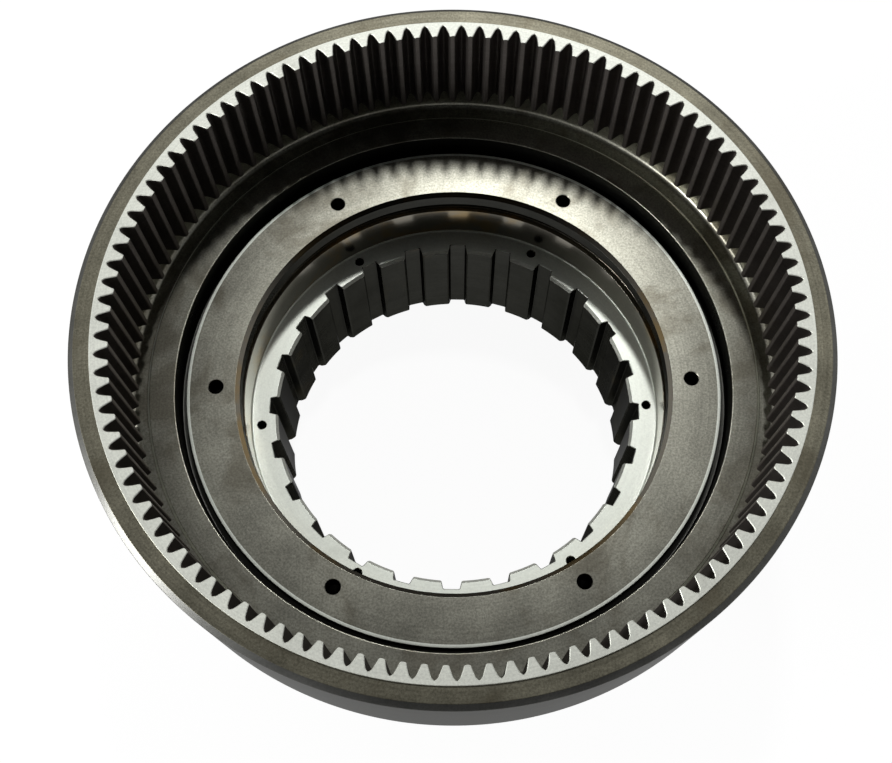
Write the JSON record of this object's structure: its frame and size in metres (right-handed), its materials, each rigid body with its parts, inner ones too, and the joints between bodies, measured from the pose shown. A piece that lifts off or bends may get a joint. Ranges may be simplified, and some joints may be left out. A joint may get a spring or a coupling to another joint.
{
  "type": "internal ring gear with splined hub",
  "caption": "Deep internal ring gear: straight internal teeth in a rim, a drilled flange and bearing seat inside it, and a splined hub below for the shaft it drives.",
  "frame": {"origin": "centre of the hub's bottom face, on the gear's axis", "axes": "+Z along the gear's axis, from the hub up to the toothed rim's open end; +X through a flange hole"},
  "size_m": [0.3659, 0.366, 0.18],
  "materials": {
    "steel": "hardened and phosphated alloy steel, satin, with bright ground faces"
  },
  "bodies": {
    "root": {"ring_gear": "steel"}
  },
  "joints": []
}
